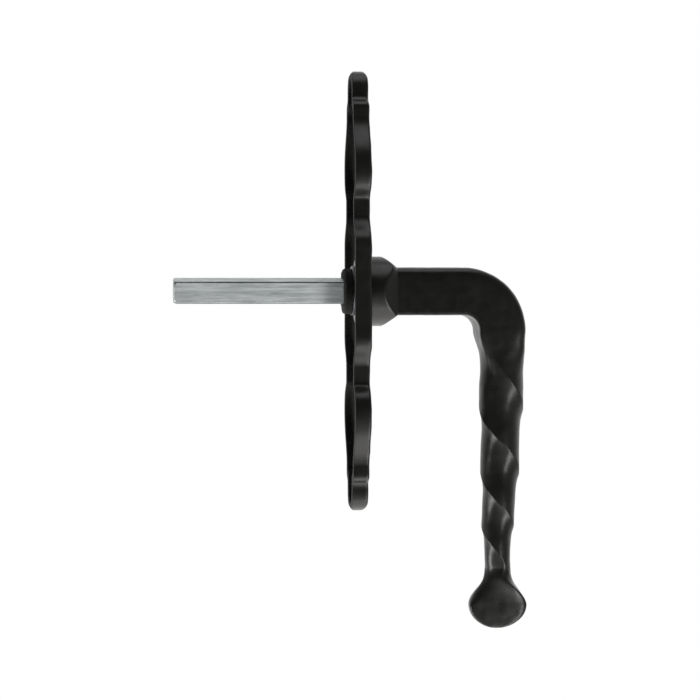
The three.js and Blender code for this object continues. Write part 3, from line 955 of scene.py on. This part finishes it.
def makeRing():
    # A round wire bent to a circle, open at the bottom, with rounded ends
    p = snapRing
    gap = p["gap"] / p["radius"] / 2
    turns = np.linspace(gap, 2 * math.pi - gap, 180)
    ends = np.array([0, 0.5, 0.85, 1.0])
    swell = np.concatenate([ends, np.ones(len(turns) - 8), ends[::-1]])
    around = np.linspace(0, 2 * math.pi, 24, endpoint=False)
    radius = p["radius"] + p["wire"] * swell[:, None] * np.cos(around)
    y = p["place"] + p["wire"] * swell[:, None] * np.sin(around)
    grid = np.stack([radius * np.sin(turns)[:, None], y, -radius * np.cos(turns)[:, None]], axis=-1)
    piece = pieceFromGrid("snapRing", grid * mm, "lever", "retaining_ring", None, 50)
    paint(piece, blackedSteel)


screw = {
    "radius": screwHigh.x,
    "foot": 4.5,
    "head": -screwLow.z,
    "socket": 1.25,
    "socketDepth": 1.8,
    "thread": 0.09,
}


def makeScrew():
    # Turned about the bar's crosswise line: share of hexagon, radius or share of it, and height,
    # from the foot over the thread's ridges to the head and down into its six-sided recess
    p, around = screw, np.linspace(0, 2 * math.pi, 96, endpoint=False)
    hexagon = p["socket"] / np.cos(np.mod(around, math.pi / 3) - math.pi / 6)
    outer, foot, top, floor = p["radius"], p["foot"], p["head"], p["head"] - p["socketDepth"]
    rows = [(0, 0.0, foot), (0, 1.3, foot), (0, 1.8, foot + 0.02), (0, outer, foot + 0.7)]
    rows += [(0, outer - p["thread"] * (i % 2), h)
             for i, h in enumerate(np.linspace(foot + 0.9, top - 0.35, 9))]
    rows += [(0, outer, top - 0.2), (0, outer - 0.2, top), (0, 1.75, top)]
    rows += [(1, 1.06, top), (1, 1.0, top - 0.12), (1, 1.0, floor)]
    rows += [(1, 0.5, floor - 0.15), (1, 0.0, floor - 0.3)]
    six, size, height = (np.array(v)[:, None] for v in zip(*rows))
    radius = np.where(six > 0, size * hexagon, size * np.ones_like(around))
    grid = np.stack([radius * np.cos(around), -lever["grubPlace"] + radius * np.sin(around),
                     -height * np.ones_like(around)], axis=-1)
    piece = pieceFromGrid("grubScrew", grid * mm, "lever", "spindle_grub_screw", None, 35)
    paint(piece, springSteel)


makeBush()
makeWasher()
makeSpring()
makeRing()
makeScrew()
print("small pieces made")

studio = {
    "floorDepth": 0.8,
    "floorHalf": 0.6,
    "distance": 0.9,
    "azimuth": -96.4,
    "elevation": 1.2,
    "aimHeight": -0.02075,
    "lens": 130.9,
    # brightness of the air in reflections: camera's side, behind, below, and the camera's right
    "dark": 0.03,
    "pale": 0.9,
    "lower": 0.5,
    "right": 0.13,
    "paper": (0.9, 0.9, 0.9),
    "paperGlow": (1.0, 0.985, 0.96),
    "paperGlowStrength": 1.5,
    "lightAim": (0, -0.02, -0.03),
    # name, azimuth, elevation, distance, width, height, watts
    "lights": (
        ("leftPanel", -79, -36, 0.62, 0.22, 0.46, 2.2),
        ("rightPanel", 40, -36, 0.62, 0.14, 0.48, 1.3),
        ("topPanel", 0, 78, 1.0, 0.8, 0.8, 2.6),
    ),
}


def makeFloor():
    # A level sheet of pale paper: a square grid of points at one depth
    p = studio
    step = np.linspace(-p["floorHalf"], p["floorHalf"], 13)
    x, y = np.meshgrid(step, step)
    points = np.stack([x, y, np.full_like(x, -p["floorDepth"])], axis=-1).reshape(-1, 3)
    index = np.arange(x.size).reshape(x.shape)
    faces = np.stack([index[:-1, :-1], index[:-1, 1:], index[1:, 1:], index[1:, :-1]], axis=-1).reshape(-1, 4)
    mesh = bpy.data.meshes.new("paleFloor")
    mesh.from_pydata(points.tolist(), [], faces.tolist())
    floor = bpy.data.objects.new("paleFloor", mesh)
    scene.collection.objects.link(floor)
    material, nodes, links, shader = newMaterial("palePaper")
    shader.inputs["Base Color"].default_value = (*p["paper"], 1)
    shader.inputs["Roughness"].default_value = 0.9
    shader.inputs["Emission Color"].default_value = (*p["paperGlow"], 1)
    shader.inputs["Emission Strength"].default_value = p["paperGlowStrength"]
    paint(floor, material)


def wayTo(azimuth, elevation):
    # Unit vector from the handle: azimuth 0 towards -Y and 90 towards +X, elevation upwards
    turn, rise = math.radians(azimuth), math.radians(elevation)
    flat = math.cos(rise)
    return Vector((math.sin(turn) * flat, -math.cos(turn) * flat, math.sin(rise)))


def makeLight(name, azimuth, elevation, distance, width, height, strength):
    # An area light aimed at the handle; azimuth is counted from the camera's side, to its right
    away = wayTo(studio["azimuth"] + azimuth, elevation)
    data = bpy.data.lights.new(name, "AREA")
    data.shape = "RECTANGLE"
    data.size = width
    data.size_y = height
    data.energy = strength
    light = bpy.data.objects.new(name, data)
    light.location = Vector(studio["lightAim"]) + away * distance
    light.rotation_euler = away.to_track_quat("Z", "Y").to_euler()
    light.visible_camera = False
    scene.collection.objects.link(light)


def makeWorld():
    world = bpy.data.worlds.new("studioAir")
    scene.world = world
    world.use_nodes = True
    nodes, links = world.node_tree.nodes, world.node_tree.links
    nodes.clear()
    out = nodes.new("ShaderNodeOutputWorld")
    blend = nodes.new("ShaderNodeMixShader")
    path = nodes.new("ShaderNodeLightPath")
    dim, white = nodes.new("ShaderNodeBackground"), nodes.new("ShaderNodeBackground")
    # pale behind the handle and dark on the camera's side, as seen in the handle's own reflections
    turn = math.radians(studio["azimuth"])
    place = nodes.new("ShaderNodeTexCoord")
    behind = nodes.new("ShaderNodeVectorMath")
    behind.operation = "DOT_PRODUCT"
    behind.inputs[1].default_value = (-math.sin(turn), math.cos(turn), 0)
    links.new(place.outputs["Generated"], behind.inputs[0])
    shade = rangeNode(nodes, links, behind.outputs["Value"], -0.1, 0.7, studio["dark"], studio["pale"])
    # lighter straight below, and a little lighter to the camera's right
    split = nodes.new("ShaderNodeSeparateXYZ")
    links.new(place.outputs["Generated"], split.inputs[0])
    lower = rangeNode(nodes, links, split.outputs["Z"], -0.1, -0.6, 0, studio["lower"])
    aside = nodes.new("ShaderNodeVectorMath")
    aside.operation = "DOT_PRODUCT"
    aside.inputs[1].default_value = (math.cos(turn), math.sin(turn), 0)
    links.new(place.outputs["Generated"], aside.inputs[0])
    right = rangeNode(nodes, links, aside.outputs["Value"], 0.25, 1.0, 0, studio["right"])
    size = nodes.new("ShaderNodeMath")
    size.operation = "ABSOLUTE"
    links.new(aside.outputs["Value"], size.inputs[0])
    narrow = rangeNode(nodes, links, size.outputs["Value"], 0.15, 0.5, 1, 0.15)
    glow = nodes.new("ShaderNodeMath")
    glow.operation = "MULTIPLY"
    links.new(lower, glow.inputs[0])
    links.new(narrow, glow.inputs[1])
    total = nodes.new("ShaderNodeMath")
    links.new(shade, total.inputs[0])
    links.new(glow.outputs["Value"], total.inputs[1])
    every = nodes.new("ShaderNodeMath")
    links.new(total.outputs["Value"], every.inputs[0])
    links.new(right, every.inputs[1])
    links.new(every.outputs["Value"], dim.inputs["Color"])
    white.inputs["Color"].default_value = (1, 1, 1, 1)
    links.new(path.outputs["Is Camera Ray"], blend.inputs["Fac"])
    links.new(dim.outputs["Background"], blend.inputs[1])
    links.new(white.outputs["Background"], blend.inputs[2])
    links.new(blend.outputs["Shader"], out.inputs["Surface"])


def makeCamera():
    p = studio
    away = wayTo(p["azimuth"], p["elevation"])
    data = bpy.data.cameras.new("studioCamera")
    data.lens = p["lens"]
    data.sensor_width = 36
    data.clip_end = 50
    camera = bpy.data.objects.new("studioCamera", data)
    camera.location = Vector((0, 0, p["aimHeight"])) + away * p["distance"]
    camera.rotation_euler = away.to_track_quat("Z", "Y").to_euler()
    scene.collection.objects.link(camera)
    scene.camera = camera


makeFloor()
makeWorld()
makeCamera()
for light in studio["lights"]:
    makeLight(*light)
scene.view_settings.view_transform = "Standard"
print("studio ready")
